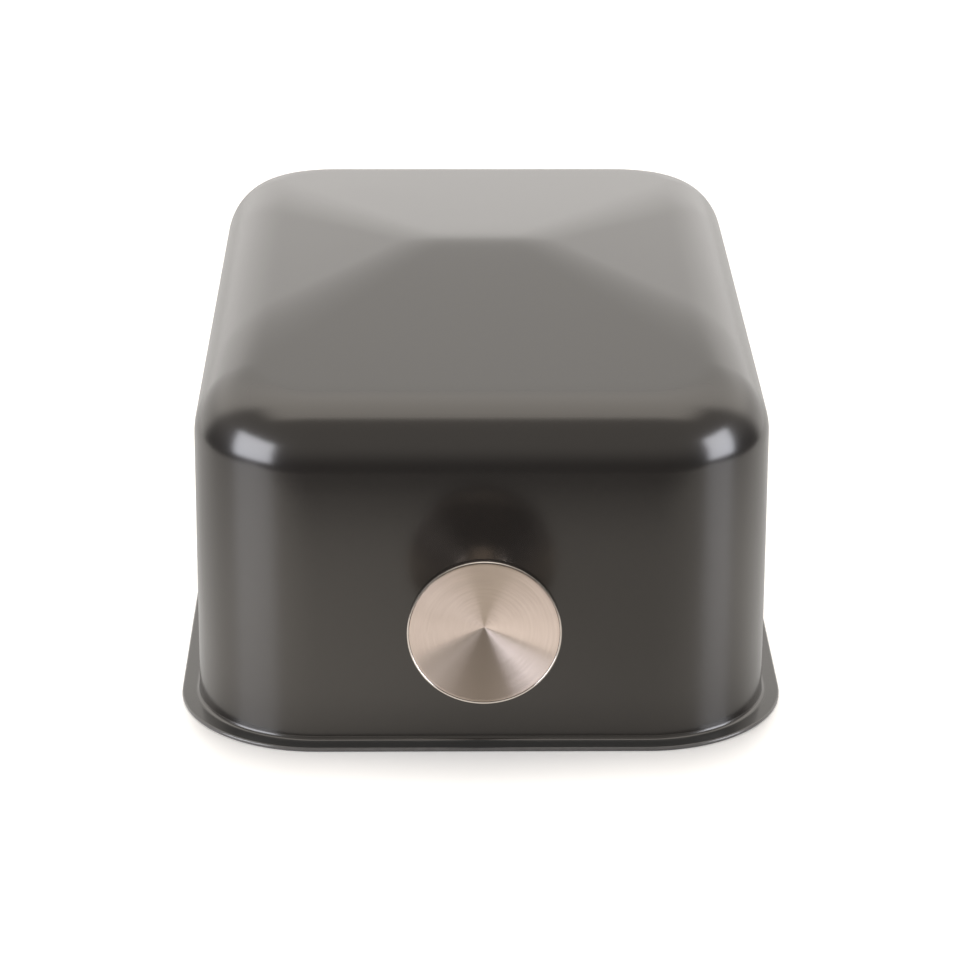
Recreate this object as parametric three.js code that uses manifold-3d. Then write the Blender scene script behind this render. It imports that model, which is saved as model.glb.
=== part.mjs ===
// Bread cloche: a pressed steel cover that stands open side down over a loaf, with a screwed-on metal knob.
// Millimetres, +Z up, knob facing -Y. The origin is on the resting plane, midway along the overall length.

import * as THREE from "three";
import { mergeVertices } from "three/addons/utils/BufferGeometryUtils.js";
import Module from "manifold-3d";

// Sheet and plan of the cover
const bodyWidth = 190;
const bodyLength = 281;
const sheetThickness = 1.5;
const planCornerRadius = 41;
const wallDraft = THREE.MathUtils.degToRad(0.4);
const flangeReach = 6;
const bendRadius = 1;

// Heights and roof of the cover
const wallHeight = 95;
const endShoulder = 19.6;
const endPitch = THREE.MathUtils.degToRad(5.7);
const sidePitch = THREE.MathUtils.degToRad(7.4);
const ridgeLength = 44;
const ridgeSoftness = 4;
const hipWidthAtRidge = 12;
const hipWidthAtEave = 44;

// Knob, measured along its axis from the front wall
const knobHeight = 53.2;
const knobReach = 30;
const knobFaceRadius = 24.35;
const knobRimWidth = 3;
const knobRimChamfer = 0.3;
const knobLip = 0.5;
const knobConeRise = 9;
const knobNeckRadius = 8.5;
const knobNeckFillet = 1;
const knobFootBore = 5.5;
const knobSheet = 1.5;
const faceDishDepth = 5;
const faceSetback = 0.1;
const faceSheet = 1.2;
const faceGap = 0.1;
const faceLand = 0.3;

// Fastening
const screwRadius = 3;
const screwHeadRadius = 5.6;
const screwHeadHeight = 3.4;
const screwEngagement = 11;
const plugLength = 13;
const driveSlotWidth = 1.4;
const driveSlotLength = 5.6;
const driveSlotDepth = 1.6;
const flatWasherRadius = 8;
const flatWasherThickness = 1.2;
const lockWasherRadius = 5.4;
const lockWasherThickness = 1.5;
const lockWasherSlit = 1;

// Clearances between neighbouring pieces
const seatGap = 0.3;
const holeClearance = 0.4;

// How finely the curved surfaces are divided
const endSegments = 6;
const cornerSegments = 9;
const sideSegments = 6;
const bendSegments = 3;
const shoulderSegments = 6;
const roofSegments = 6;
const turnSegments = 40;

const wasm = await Module();
wasm.setup();

const halfWidth = bodyWidth / 2;
const halfLength = bodyLength / 2;
const endSlope = Math.tan(endPitch);
const sideSlope = Math.tan(sidePitch);
const shoulderInset = wallHeight * Math.tan(wallDraft);
const ridgeHeight = wallHeight + endShoulder + endSlope * (halfLength - shoulderInset - ridgeSoftness);
const faceRadius = knobFaceRadius - knobLip - faceGap;
const dishSlope = faceDishDepth / (faceRadius - faceLand);
const backSlope = knobConeRise / (knobFaceRadius - knobNeckRadius);

const coatMaterial = new THREE.MeshStandardMaterial({ color: 0x3f3b37, roughness: 0.4, metalness: 0 });
const knobMaterial = new THREE.MeshStandardMaterial({ color: 0xc0ada0, roughness: 0.28, metalness: 1 });
const hardwareMaterial = new THREE.MeshStandardMaterial({ color: 0xa9a9ab, roughness: 0.35, metalness: 1 });

/** Turns a geometry into a solid that can be joined and cut. */
function solidFrom(geometry) {
  const bare = geometry.clone();
  bare.deleteAttribute("normal");
  bare.deleteAttribute("uv");
  const merged = mergeVertices(bare, 1e-4);
  return new wasm.Manifold(
    new wasm.Mesh({
      numProp: 3,
      vertProperties: new Float32Array(merged.attributes.position.array),
      triVerts: new Uint32Array(merged.index.array),
    }),
  );
}

/** Turns a solid back into a geometry. */
function geometryFrom(solid) {
  const mesh = solid.getMesh();
  const geometry = new THREE.BufferGeometry();
  geometry.setAttribute("position", new THREE.BufferAttribute(new Float32Array(mesh.vertProperties), 3));
  geometry.setIndex(new THREE.BufferAttribute(new Uint32Array(mesh.triVerts), 1));
  geometry.computeVertexNormals();
  return geometry;
}

/** Revolves a [radius, height] profile about Z. It starts and ends on the axis, or is closed on itself here. */
function revolve(profile) {
  const closed = profile[0][0] === 0 ? profile : [...profile, profile[0]];
  const points = closed.map(([radius, height]) => new THREE.Vector2(radius, height));
  return new THREE.LatheGeometry(points, turnSegments).rotateX(Math.PI / 2);
}

/** Evenly spaced values from first to last, both included. */
function spread(first, last, steps) {
  return Array.from({ length: steps + 1 }, (_, i) => first + ((last - first) * i) / steps);
}

/**
 * Stations once round a rounded rectangle, counter-clockwise from above. Each has the place of its
 * arc centre as shares of the core rectangle, and its outward direction.
 */
function planStations() {
  const quarters = [
    { from: 0, signX: 1, signY: 1, sideFirst: true },
    { from: 90, signX: -1, signY: 1, sideFirst: false },
    { from: 180, signX: -1, signY: -1, sideFirst: true },
    { from: 270, signX: 1, signY: -1, sideFirst: false },
  ];
  const stations = [];
  for (const { from, signX, signY, sideFirst } of quarters) {
    const [leadSteps, trailSteps] = sideFirst ? [sideSegments, endSegments] : [endSegments, sideSegments];
    const along = (share) => (sideFirst ? [signX, signY * share] : [signX * share, signY]);
    const past = (share) => (sideFirst ? [signX * share, signY] : [signX, signY * share]);
    for (const share of spread(0, 1, leadSteps).slice(0, -1)) {
      stations.push({ core: along(share), angle: from });
    }
    for (const turn of spread(0, 90, cornerSegments).slice(0, -1)) {
      stations.push({ core: [signX, signY], angle: from + turn });
    }
    for (const share of spread(1, 0, trailSteps).slice(0, -1)) {
      stations.push({ core: past(share), angle: from + 90 });
    }
  }
  return stations.map(({ core, angle }) => {
    const turn = THREE.MathUtils.degToRad(angle);
    return { core, out: [Math.cos(turn), Math.sin(turn)] };
  });
}

const stations = planStations();

/** Point of a station on the wall's plan, moved out by offset. */
function planPoint({ core, out }, offset) {
  const x = core[0] * (halfWidth - planCornerRadius) + out[0] * (planCornerRadius + offset);
  const y = core[1] * (halfLength - planCornerRadius) + out[1] * (planCornerRadius + offset);
  return [x, y];
}

/** Point of a station on the small rounded outline that the ridge shrinks to. */
function ridgePoint({ core, out }) {
  const x = core[0] * (ridgeLength / 2) + out[0] * (ridgeSoftness / 2);
  const y = core[1] * (ridgeSoftness / 4) + out[1] * (ridgeSoftness / 2);
  return [x, y];
}

/** Lower of two heights, rounded where they are closer than blend. */
function softMinimum(a, b, blend) {
  const overlap = Math.max(blend - Math.abs(a - b), 0) / blend;
  return Math.min(a, b) - (overlap * overlap * blend) / 4;
}

/** Height of the roof above a plan point: two end faces meet in the ridge, two side faces cut them at soft hips. */
function roofHeight(x, y) {
  const endFace = ridgeHeight - endSlope * (Math.hypot(y, ridgeSoftness) - ridgeSoftness);
  const sideFace = ridgeHeight - sideSlope * (Math.abs(x) - ridgeLength / 2);
  const hipWidth = THREE.MathUtils.lerp(hipWidthAtRidge, hipWidthAtEave, Math.abs(y) / halfLength);
  return softMinimum(endFace, sideFace, (hipWidth / 2) * Math.hypot(endSlope, sideSlope));
}

/** Radius of the shoulder at a station: what is left between the wall's top and the roof. */
function shoulderRadius(station) {
  return roofHeight(...planPoint(station, -shoulderInset)) - wallHeight;
}

/** Ring of the shoulder, at a turn from upright (0) to the roof (90 degrees), inset into the sheet by depth. */
function shoulderRing(turn, depth) {
  return stations.map((station) => {
    const radius = shoulderRadius(station);
    const offset = (radius - depth) * Math.cos(turn) - radius - shoulderInset;
    const [x, y] = planPoint(station, offset);
    return [x, y, roofHeight(x, y) - radius + (radius - depth) * Math.sin(turn)];
  });
}

/** Ring of the roof, at a share of the way from the shoulder's top to the ridge. */
function roofRing(share, depth) {
  return stations.map((station) => {
    const from = planPoint(station, -shoulderRadius(station) - shoulderInset);
    const to = ridgePoint(station);
    const x = THREE.MathUtils.lerp(from[0], to[0], share);
    const y = THREE.MathUtils.lerp(from[1], to[1], share);
    return [x, y, roofHeight(x, y) - depth];
  });
}

/** Ring at one offset and height all the way round. */
function levelRing(offset, height) {
  return stations.map((station) => [...planPoint(station, offset), height]);
}

/** Rings of the bent root of the flange, on the sheet's outer side (depth 0) or its inner side. */
function bendRings(depth) {
  const centreHeight = sheetThickness + bendRadius;
  const radius = bendRadius + depth;
  return spread(0, Math.PI / 2, bendSegments).map((turn) =>
    levelRing(bendRadius - radius * Math.cos(turn), centreHeight - radius * Math.sin(turn)),
  );
}

/** Rings of one side of the drawn sheet, from the flange's root up to the ridge. */
function sheetRings(depth) {
  return [
    ...bendRings(depth).reverse(),
    ...spread(0, Math.PI / 2, shoulderSegments).map((turn) => shoulderRing(turn, depth)),
    ...spread(0, 1, roofSegments).slice(1).map((share) => roofRing(share, depth)),
  ];
}

/** Closed skin through rings of equal length, capped by a fan at each end. */
function loft(rings) {
  const count = rings[0].length;
  const positions = rings.flat(2);
  const faces = [];
  for (let ring = 0; ring < rings.length - 1; ring += 1) {
    for (let i = 0; i < count; i += 1) {
      const a = ring * count + i;
      const b = ring * count + ((i + 1) % count);
      faces.push(a, b, b + count, a, b + count, a + count);
    }
  }
  const capStarts = [0, (rings.length - 1) * count];
  for (const [cap, start] of capStarts.entries()) {
    const ring = rings[cap === 0 ? 0 : rings.length - 1];
    const centre = positions.length / 3;
    const height = Math.max(...ring.map((point) => point[2]));
    positions.push(0, 0, height);
    for (let i = 0; i < count; i += 1) {
      const a = start + i;
      const b = start + ((i + 1) % count);
      faces.push(...(cap === 0 ? [centre, b, a] : [centre, a, b]));
    }
  }
  const geometry = new THREE.BufferGeometry();
  geometry.setAttribute("position", new THREE.Float32BufferAttribute(positions, 3));
  geometry.setIndex(faces);
  return geometry;
}

/** The whole cover in one sheet, from the ridge inside, down to the flange and up to the ridge outside. */
function coverGeometry() {
  return loft([
    ...sheetRings(sheetThickness).reverse(),
    levelRing(flangeReach, 0),
    levelRing(flangeReach, sheetThickness),
    ...sheetRings(0),
  ]);
}

/**
 * Knob body: an in-turned foot, a tubular neck, and a solid head that widens in a cone to the rim. A thin lip
 * stands round the dished seat of the front disc.
 */
function knobBodyGeometry() {
  const neckInside = knobNeckRadius - knobSheet;
  const boreTop = 3 * seatGap + knobSheet + plugLength;
  const discSeat = knobReach - faceSetback - faceSheet - seatGap;
  const rimBack = knobReach - knobRimWidth;
  const filletCentre = knobNeckRadius + knobNeckFillet;
  const filletHeight =
    rimBack - backSlope * (knobFaceRadius - filletCentre) - knobNeckFillet * Math.hypot(1, backSlope);
  const fillet = spread(Math.PI, Math.PI / 2 + Math.atan(backSlope), 4).map((turn) => [
    filletCentre + knobNeckFillet * Math.cos(turn),
    filletHeight + knobNeckFillet * Math.sin(turn),
  ]);
  return revolve([
    [0, boreTop],
    [neckInside, boreTop],
    [neckInside, seatGap + knobSheet],
    [knobFootBore, seatGap + knobSheet],
    [knobFootBore, seatGap],
    [knobNeckRadius, seatGap],
    ...fillet,
    [knobFaceRadius, rimBack],
    [knobFaceRadius, knobReach - knobRimChamfer],
    [knobFaceRadius - knobRimChamfer, knobReach],
    [knobFaceRadius - knobLip, knobReach],
    [knobFaceRadius - knobLip, discSeat],
    [faceRadius - faceLand, discSeat],
    [0, discSeat - dishSlope * (faceRadius - faceLand)],
  ]);
}

/** Front disc of the knob: a shallow cone that sinks toward its centre. */
function knobFaceGeometry() {
  const front = knobReach - faceSetback;
  return revolve([
    [0, front - faceDishDepth - faceSheet],
    [faceRadius - faceLand, front - faceSheet],
    [faceRadius, front - faceSheet],
    [faceRadius, front],
    [faceRadius - faceLand, front],
    [0, front - faceDishDepth],
  ]);
}

/** Threaded plug that seats on the foot inside the neck. */
function knobPlugGeometry() {
  const foot = 2 * seatGap + knobSheet;
  const outer = knobNeckRadius - knobSheet - seatGap;
  const bore = screwRadius + seatGap;
  return revolve([
    [bore, foot],
    [outer, foot],
    [outer, foot + plugLength],
    [bore, foot + plugLength],
  ]);
}

// Places behind the front wall along the knob's axis, each piece seated on the one before it
const flatWasherBack = -sheetThickness - seatGap - flatWasherThickness;
const lockWasherBack = flatWasherBack - seatGap - lockWasherThickness;
const screwHeadSeat = lockWasherBack - seatGap;

/** Ring with a square section between two heights. */
function washerGeometry(outerRadius, back, thickness) {
  const inner = screwRadius + holeClearance;
  return revolve([
    [inner, back],
    [outerRadius, back],
    [outerRadius, back + thickness],
    [inner, back + thickness],
  ]);
}

/** Lock washer: a ring cut through by one slit. */
function lockWasherGeometry() {
  const ring = washerGeometry(lockWasherRadius, lockWasherBack, lockWasherThickness);
  const slit = new THREE.BoxGeometry(lockWasherRadius * 2, lockWasherSlit, lockWasherThickness * 4);
  slit.translate(lockWasherRadius, 0, lockWasherBack);
  return geometryFrom(solidFrom(ring).subtract(solidFrom(slit)));
}

/** Screw with a domed head and a cross drive, its shank running out through the wall into the plug. */
function screwGeometry() {
  const tip = 2 * seatGap + knobSheet + screwEngagement;
  const headEdge = screwHeadSeat - screwHeadHeight * 0.45;
  const headTop = screwHeadSeat - screwHeadHeight;
  const dome = spread(0, Math.PI / 2, 5).map((turn) => [
    screwHeadRadius * Math.sin(turn),
    headEdge + (headTop - headEdge) * Math.cos(turn),
  ]);
  const pointLength = screwRadius / 3;
  const blank = revolve([
    ...dome,
    [screwHeadRadius, screwHeadSeat],
    [screwRadius, screwHeadSeat],
    [screwRadius, tip - pointLength],
    [screwRadius - pointLength, tip],
    [0, tip],
  ]);
  const drive = [0, Math.PI / 2].map((turn) =>
    new THREE.BoxGeometry(driveSlotLength, driveSlotWidth, driveSlotDepth * 2).rotateZ(turn).translate(0, 0, headTop),
  );
  return geometryFrom(drive.reduce((screw, slot) => screw.subtract(solidFrom(slot)), solidFrom(blank)));
}

/** Frame on the front wall, its Z along the knob's axis, square to the drafted wall. */
function knobFrame() {
  const frame = new THREE.Object3D();
  frame.position.set(0, -(halfLength - knobHeight * Math.tan(wallDraft)), knobHeight);
  frame.rotation.x = Math.PI / 2 - wallDraft;
  frame.updateMatrix();
  return frame;
}

/** Cover with the screw's hole through its front wall. */
function shellGeometry() {
  const drill = new THREE.CylinderGeometry(
    screwRadius + holeClearance,
    screwRadius + holeClearance,
    sheetThickness * 8,
    turnSegments / 2,
  );
  drill.rotateX(Math.PI / 2).applyMatrix4(knobFrame().matrix);
  return geometryFrom(solidFrom(coverGeometry()).subtract(solidFrom(drill)));
}

/** Named piece with its material. */
function piece(name, geometry, material) {
  const mesh = new THREE.Mesh(geometry, material);
  mesh.name = name;
  return mesh;
}

const knob = new THREE.Group();
knob.position.copy(knobFrame().position);
knob.rotation.copy(knobFrame().rotation);
knob.add(
  piece("knob_body", knobBodyGeometry(), knobMaterial),
  piece("knob_face", knobFaceGeometry(), knobMaterial),
  piece("knob_plug", knobPlugGeometry(), hardwareMaterial),
  piece("flat_washer", washerGeometry(flatWasherRadius, flatWasherBack, flatWasherThickness), hardwareMaterial),
  piece("lock_washer", lockWasherGeometry(), hardwareMaterial),
  piece("knob_screw", screwGeometry(), hardwareMaterial),
);

const cloche = new THREE.Group();
cloche.add(piece("shell", shellGeometry(), coatMaterial), knob);

// The whole is moved so that the origin lies midway along its length
const overall = new THREE.Box3().setFromObject(cloche, true);
cloche.position.y = -(overall.min.y + overall.max.y) / 2;
cloche.updateMatrixWorld(true);

export default cloche;
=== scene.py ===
"""Bread cloche: fine surfaces, finishes, studio light and camera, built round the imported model."""

import logging
import math
from dataclasses import dataclass, field
from enum import Enum

import bmesh
import bpy
import numpy as np
from mathutils import Matrix, Vector


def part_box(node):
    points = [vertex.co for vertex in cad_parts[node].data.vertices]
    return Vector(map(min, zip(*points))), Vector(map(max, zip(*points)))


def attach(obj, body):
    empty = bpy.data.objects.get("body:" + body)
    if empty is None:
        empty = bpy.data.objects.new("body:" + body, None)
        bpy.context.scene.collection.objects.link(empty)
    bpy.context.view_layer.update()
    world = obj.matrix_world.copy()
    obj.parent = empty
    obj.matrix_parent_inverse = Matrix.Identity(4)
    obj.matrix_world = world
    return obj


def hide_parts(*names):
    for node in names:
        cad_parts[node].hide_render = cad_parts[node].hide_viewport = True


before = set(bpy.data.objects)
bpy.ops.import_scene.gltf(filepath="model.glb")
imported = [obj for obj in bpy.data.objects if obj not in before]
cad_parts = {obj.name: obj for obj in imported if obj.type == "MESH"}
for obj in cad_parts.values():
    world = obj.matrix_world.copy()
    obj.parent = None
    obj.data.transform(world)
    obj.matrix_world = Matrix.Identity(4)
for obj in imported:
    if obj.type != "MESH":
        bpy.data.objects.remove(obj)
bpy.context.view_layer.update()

log = logging.getLogger("bread_cloche")

MM = 0.001
BODY = "root"
SHARP = math.radians(40.0)
SAME_PLACE = 1.0e-7
QUARTER_TURN = 0.25

# Steps round the axis of each turned piece.
HEAD_STEPS = 240
PLUG_STEPS = 96
WASHER_STEPS = 128
SPRING_STEPS = 120
SCREW_STEPS = 192

# Points along the curved parts of the knob's profiles.
FILLET_POINTS = 16
CONE_POINTS = 14
DISH_POINTS = 40
DOME_POINTS = 64

Colour = tuple[float, float, float]
Band = tuple[float, float]
Profile = list[tuple[float, float]]
Socket = bpy.types.NodeSocket


class Slot(Enum):
    """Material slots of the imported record."""

    SHELL = "coated_shell"
    KNOB = "brushed_knob"
    HARDWARE = "hardware"


class Grain(Enum):
    """How a metal piece was finished on the lathe or in the press."""

    CIRCULAR = "fine grooves round the axis"
    POLISHED = "bright, with faint scuffs"
    PLAIN = "as it left the press"


@dataclass
class Graph:
    """Node tree of one material or world, with short calls to add and join nodes.

    Attributes:
        tree: The node tree that is filled.
    """

    tree: bpy.types.NodeTree

    def add(self, kind: str, **inputs: object) -> bpy.types.Node:
        """Adds one node and sets its unlinked inputs.

        Args:
            kind: Blender's type name of the node.
            inputs: Input values, named as the sockets are, with _ for a blank.

        Returns:
            The new node.
        """
        node = self.tree.nodes.new(kind)
        for name, value in inputs.items():
            node.inputs[name.replace("_", " ")].default_value = value
        return node

    def join(self, source: Socket, target: Socket) -> None:
        """Links an output to an input."""
        self.tree.links.new(source, target)

    def sum_of(self, operation: str, *terms: Socket | float) -> Socket:
        """Does one step of arithmetic.

        Args:
            operation: Blender's name of the operation, such as MULTIPLY.
            terms: Sockets or plain numbers, in order.

        Returns:
            The result's socket.
        """
        node = self.tree.nodes.new("ShaderNodeMath")
        node.operation = operation
        for place, term in enumerate(terms):
            if isinstance(term, Socket):
                self.join(term, node.inputs[place])
            else:
                node.inputs[place].default_value = term
        return node.outputs[0]

    def spread(self, value: Socket, low: float, high: float) -> Socket:
        """Maps a value from 0..1 to low..high.

        Args:
            value: The socket to map.
            low: Result at 0.
            high: Result at 1.

        Returns:
            The mapped socket.
        """
        node = self.add("ShaderNodeMapRange", To_Min=low, To_Max=high)
        self.join(value, node.inputs["Value"])
        return node.outputs["Result"]

    def between(self, share: Socket, low: Colour | Socket, high: Colour) -> Socket:
        """Mixes two colours.

        Args:
            share: How much of the second colour shows.
            low: First colour, or the socket that gives it.
            high: Second colour.

        Returns:
            The mixed colour's socket.
        """
        node = self.tree.nodes.new("ShaderNodeMix")
        node.data_type = "RGBA"
        first, second = (socket for socket in node.inputs if socket.type == "RGBA")
        self.join(share, node.inputs["Factor"])
        if isinstance(low, Socket):
            self.join(low, first)
        else:
            first.default_value = (*low, 1.0)
        second.default_value = (*high, 1.0)
        return next(out for out in node.outputs if out.type == "RGBA")

    def noise(self, vector: Socket, scale: float, detail: float = 2.0) -> Socket:
        """Adds soft noise.

        Args:
            vector: Where it is read.
            scale: Features per metre.
            detail: Number of finer octaves.

        Returns:
            The noise value's socket.
        """
        node = self.add("ShaderNodeTexNoise", Scale=scale, Detail=detail)
        self.join(vector, node.inputs["Vector"])
        return node.outputs["Fac"]

    def parts(self, vector: Socket) -> list[Socket]:
        """Splits a vector into its X, Y and Z.

        Args:
            vector: The vector's socket.

        Returns:
            The three sockets.
        """
        node = self.tree.nodes.new("ShaderNodeSeparateXYZ")
        self.join(vector, node.inputs["Vector"])
        return list(node.outputs)

    def blend(self, first: Socket, second: Socket, share: float) -> Socket:
        """Mixes two values, the second by the given share and the first by the rest."""
        return self.sum_of("MULTIPLY_ADD", second, share, self.sum_of("MULTIPLY", first, 1.0 - share))

    def rise(self, value: Socket, band: Band, soft: bool = False) -> Socket:
        """Rises from 0 to 1 while a value crosses a band.

        Args:
            value: What is measured.
            band: Its values at 0 and at 1.
            soft: Whether the rise starts and ends gently.

        Returns:
            The rise's socket.
        """
        node = self.add("ShaderNodeMapRange", From_Min=band[0], From_Max=band[1])
        if soft:
            node.interpolation_type = "SMOOTHSTEP"
        self.join(value, node.inputs["Value"])
        return node.outputs["Result"]

    def by_ray(self, direct: float, mirrored: Socket, other: Socket | float) -> Socket:
        """Gives a strength of its own to each kind of ray.

        Args:
            direct: Strength for rays from the camera.
            mirrored: Strength for rays that were mirrored or let through.
            other: Strength for the rays that light the object.

        Returns:
            The strength's socket.
        """
        rays = self.tree.nodes.new("ShaderNodeLightPath").outputs
        either = self.sum_of("MAXIMUM", rays["Is Glossy Ray"], rays["Is Transmission Ray"])
        rest = self.sum_of("MULTIPLY_ADD", either, self.sum_of("SUBTRACT", mirrored, other), other)
        step = self.sum_of("SUBTRACT", direct, rest)
        return self.sum_of("MULTIPLY_ADD", rays["Is Camera Ray"], step, rest)


@dataclass(frozen=True)
class CoatFinish:
    """Satin dark baking coat, sprayed thin over pressed sheet.

    Attributes:
        colour: Main colour of the coat.
        thin_colour: Colour where the coat lies thinner.
        edge_colour: Colour of a handled edge.
        dust_and_top_light_colour: Colour of the coat on level faces, partly for a fine dust film and
            partly painted light from above.
        flange_dust_and_light_colour: Colour of the coat on the flange's level top, partly for thicker
            dust and partly painted light thrown up from the table.
        dust_colour: Colour of a speck of dust.
        tint: Colour of what it mirrors when seen head on.
        index: Refractive index of the coat, which sets how much it mirrors.
        gloss_low: Roughness where it is smoothest.
        gloss_high: Roughness where it is dullest.
        haze: Share of the gloss that is spread wide.
        haze_gloss: Roughness of that share.
        peel_depth: Height of the fine spray texture, in metres.
        peel_scale: Grains of that texture along a metre.
        cloud_scale: Broad clouds in the coat along a metre.
        mottle_scale: Fine mottles in the coat along a metre.
        mottle_share: Share of the mottles in how the coat varies.
        level_band: Upward part of the face's normal, where the dust film and the painted light from
            above start and where they are full.
        sharp_band: Pointiness of an edge, where the coat starts to wear and where it is worn.
        worn_low: Share of the wear that is left between the mottles.
        cut_band: Heights in metres at which the flange's cut edge starts and shows fully.
        flange_top: Height under which a level face belongs to the flange, in metres.
        dust_spacing: Specks along a metre, at most.
        dust_share: Share of the places for a speck that have none.
        speck: Radius of a speck, in metres.
    """

    colour: Colour = (0.0145, 0.012, 0.01)
    thin_colour: Colour = (0.0175, 0.0147, 0.0125)
    edge_colour: Colour = (0.13, 0.12, 0.11)
    dust_and_top_light_colour: Colour = (0.038, 0.035, 0.031)
    flange_dust_and_light_colour: Colour = (0.045, 0.043, 0.039)
    dust_colour: Colour = (0.3, 0.29, 0.27)
    tint: Colour = (1.0, 0.94, 0.86)
    index: float = 1.7
    gloss_low: float = 0.18
    gloss_high: float = 0.23
    haze: float = 0.06
    haze_gloss: float = 0.5
    peel_depth: float = 2.0e-6
    peel_scale: float = 2400.0
    cloud_scale: float = 16.0
    mottle_scale: float = 260.0
    mottle_share: float = 0.35
    level_band: Band = (0.7, 1.0)
    sharp_band: Band = (0.56, 0.72)
    worn_low: float = 0.5
    cut_band: Band = (0.00148, 0.001184)
    flange_top: float = 0.0018
    dust_spacing: float = 42.0
    dust_share: float = 0.72
    speck: float = 0.00012

    def material(self, name: str) -> bpy.types.Material:
        """Builds the coat.

        Args:
            name: Name of the material.

        Returns:
            The material.
        """
        made = bpy.data.materials.new(name)
        made.use_nodes = True
        graph = Graph(made.node_tree)
        shader = made.node_tree.nodes["Principled BSDF"]
        shader.inputs["IOR"].default_value = self.index
        haze = graph.add("ShaderNodeBsdfPrincipled", IOR=self.index, Roughness=self.haze_gloss)
        both = graph.add("ShaderNodeMixShader", Fac=self.haze)
        graph.join(shader.outputs["BSDF"], both.inputs[1])
        graph.join(haze.outputs["BSDF"], both.inputs[2])
        graph.join(both.outputs["Shader"], made.node_tree.nodes["Material Output"].inputs["Surface"])
        place = graph.add("ShaderNodeTexCoord").outputs["Object"]
        cloud = graph.noise(place, self.cloud_scale, detail=3.0)
        mottle = graph.noise(place, self.mottle_scale, detail=3.0)
        mixed = graph.blend(cloud, mottle, self.mottle_share)
        coat = graph.between(mixed, self.colour, self.thin_colour)
        level = self._level_share(graph)
        on_flange = graph.sum_of("LESS_THAN", graph.parts(place)[2], self.flange_top)
        # Painted light: level faces, and the flange most of all, are made lighter, partly for dust and
        # partly for light from above and from the table.
        dust_and_top_lit = graph.between(level, coat, self.dust_and_top_light_colour)
        flange_dust_and_lit = graph.between(graph.sum_of("MULTIPLY", level, on_flange), dust_and_top_lit, self.flange_dust_and_light_colour)
        worn = graph.between(self._edge_share(graph, place, mottle), flange_dust_and_lit, self.edge_colour)
        dusty = graph.between(self._dust_share(graph, place), worn, self.dust_colour)
        for part in (shader, haze):
            graph.join(dusty, part.inputs["Base Color"])
            part.inputs["Specular Tint"].default_value = (*self.tint, 1.0)
        graph.join(graph.spread(mixed, self.gloss_low, self.gloss_high), shader.inputs["Roughness"])
        bump = graph.add("ShaderNodeBump", Strength=1.0, Distance=self.peel_depth)
        graph.join(graph.noise(place, self.peel_scale), bump.inputs["Height"])
        graph.join(bump.outputs["Normal"], shader.inputs["Normal"])
        return made

    def _level_share(self, graph: Graph) -> Socket:
        """Finds level faces, which get the dust film and the painted light from above: 0 on a wall, 1
        on a level face.
        """
        normal = graph.add("ShaderNodeNewGeometry").outputs["Normal"]
        return graph.rise(graph.parts(normal)[2], self.level_band)

    def _edge_share(self, graph: Graph, place: Socket, mottle: Socket) -> Socket:
        """Finds where the coat is thin: on the flange's cut edge and along rubbed sharp edges.

        Args:
            graph: The material's nodes.
            place: Position on the piece.
            mottle: Noise that breaks the wear up.

        Returns:
            Share of thin coat, 0 to 1.
        """
        sharp = graph.rise(graph.add("ShaderNodeNewGeometry").outputs["Pointiness"], self.sharp_band)
        cut = graph.rise(graph.parts(place)[2], self.cut_band)
        either = graph.sum_of("MAXIMUM", sharp, cut)
        return graph.sum_of("MULTIPLY", either, graph.spread(mottle, self.worn_low, 1.0))

    def _dust_share(self, graph: Graph, place: Socket) -> Socket:
        """Strews a few specks of dust.

        Args:
            graph: The material's nodes.
            place: Position on the piece.

        Returns:
            1 on a speck, 0 elsewhere.
        """
        cells = graph.add("ShaderNodeTexVoronoi", Scale=self.dust_spacing)
        graph.join(place, cells.inputs["Vector"])
        near = graph.sum_of("LESS_THAN", cells.outputs["Distance"], self.speck * self.dust_spacing)
        chosen = graph.sum_of("GREATER_THAN", cells.outputs["Color"], self.dust_share)
        return graph.sum_of("MULTIPLY", near, chosen)


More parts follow.
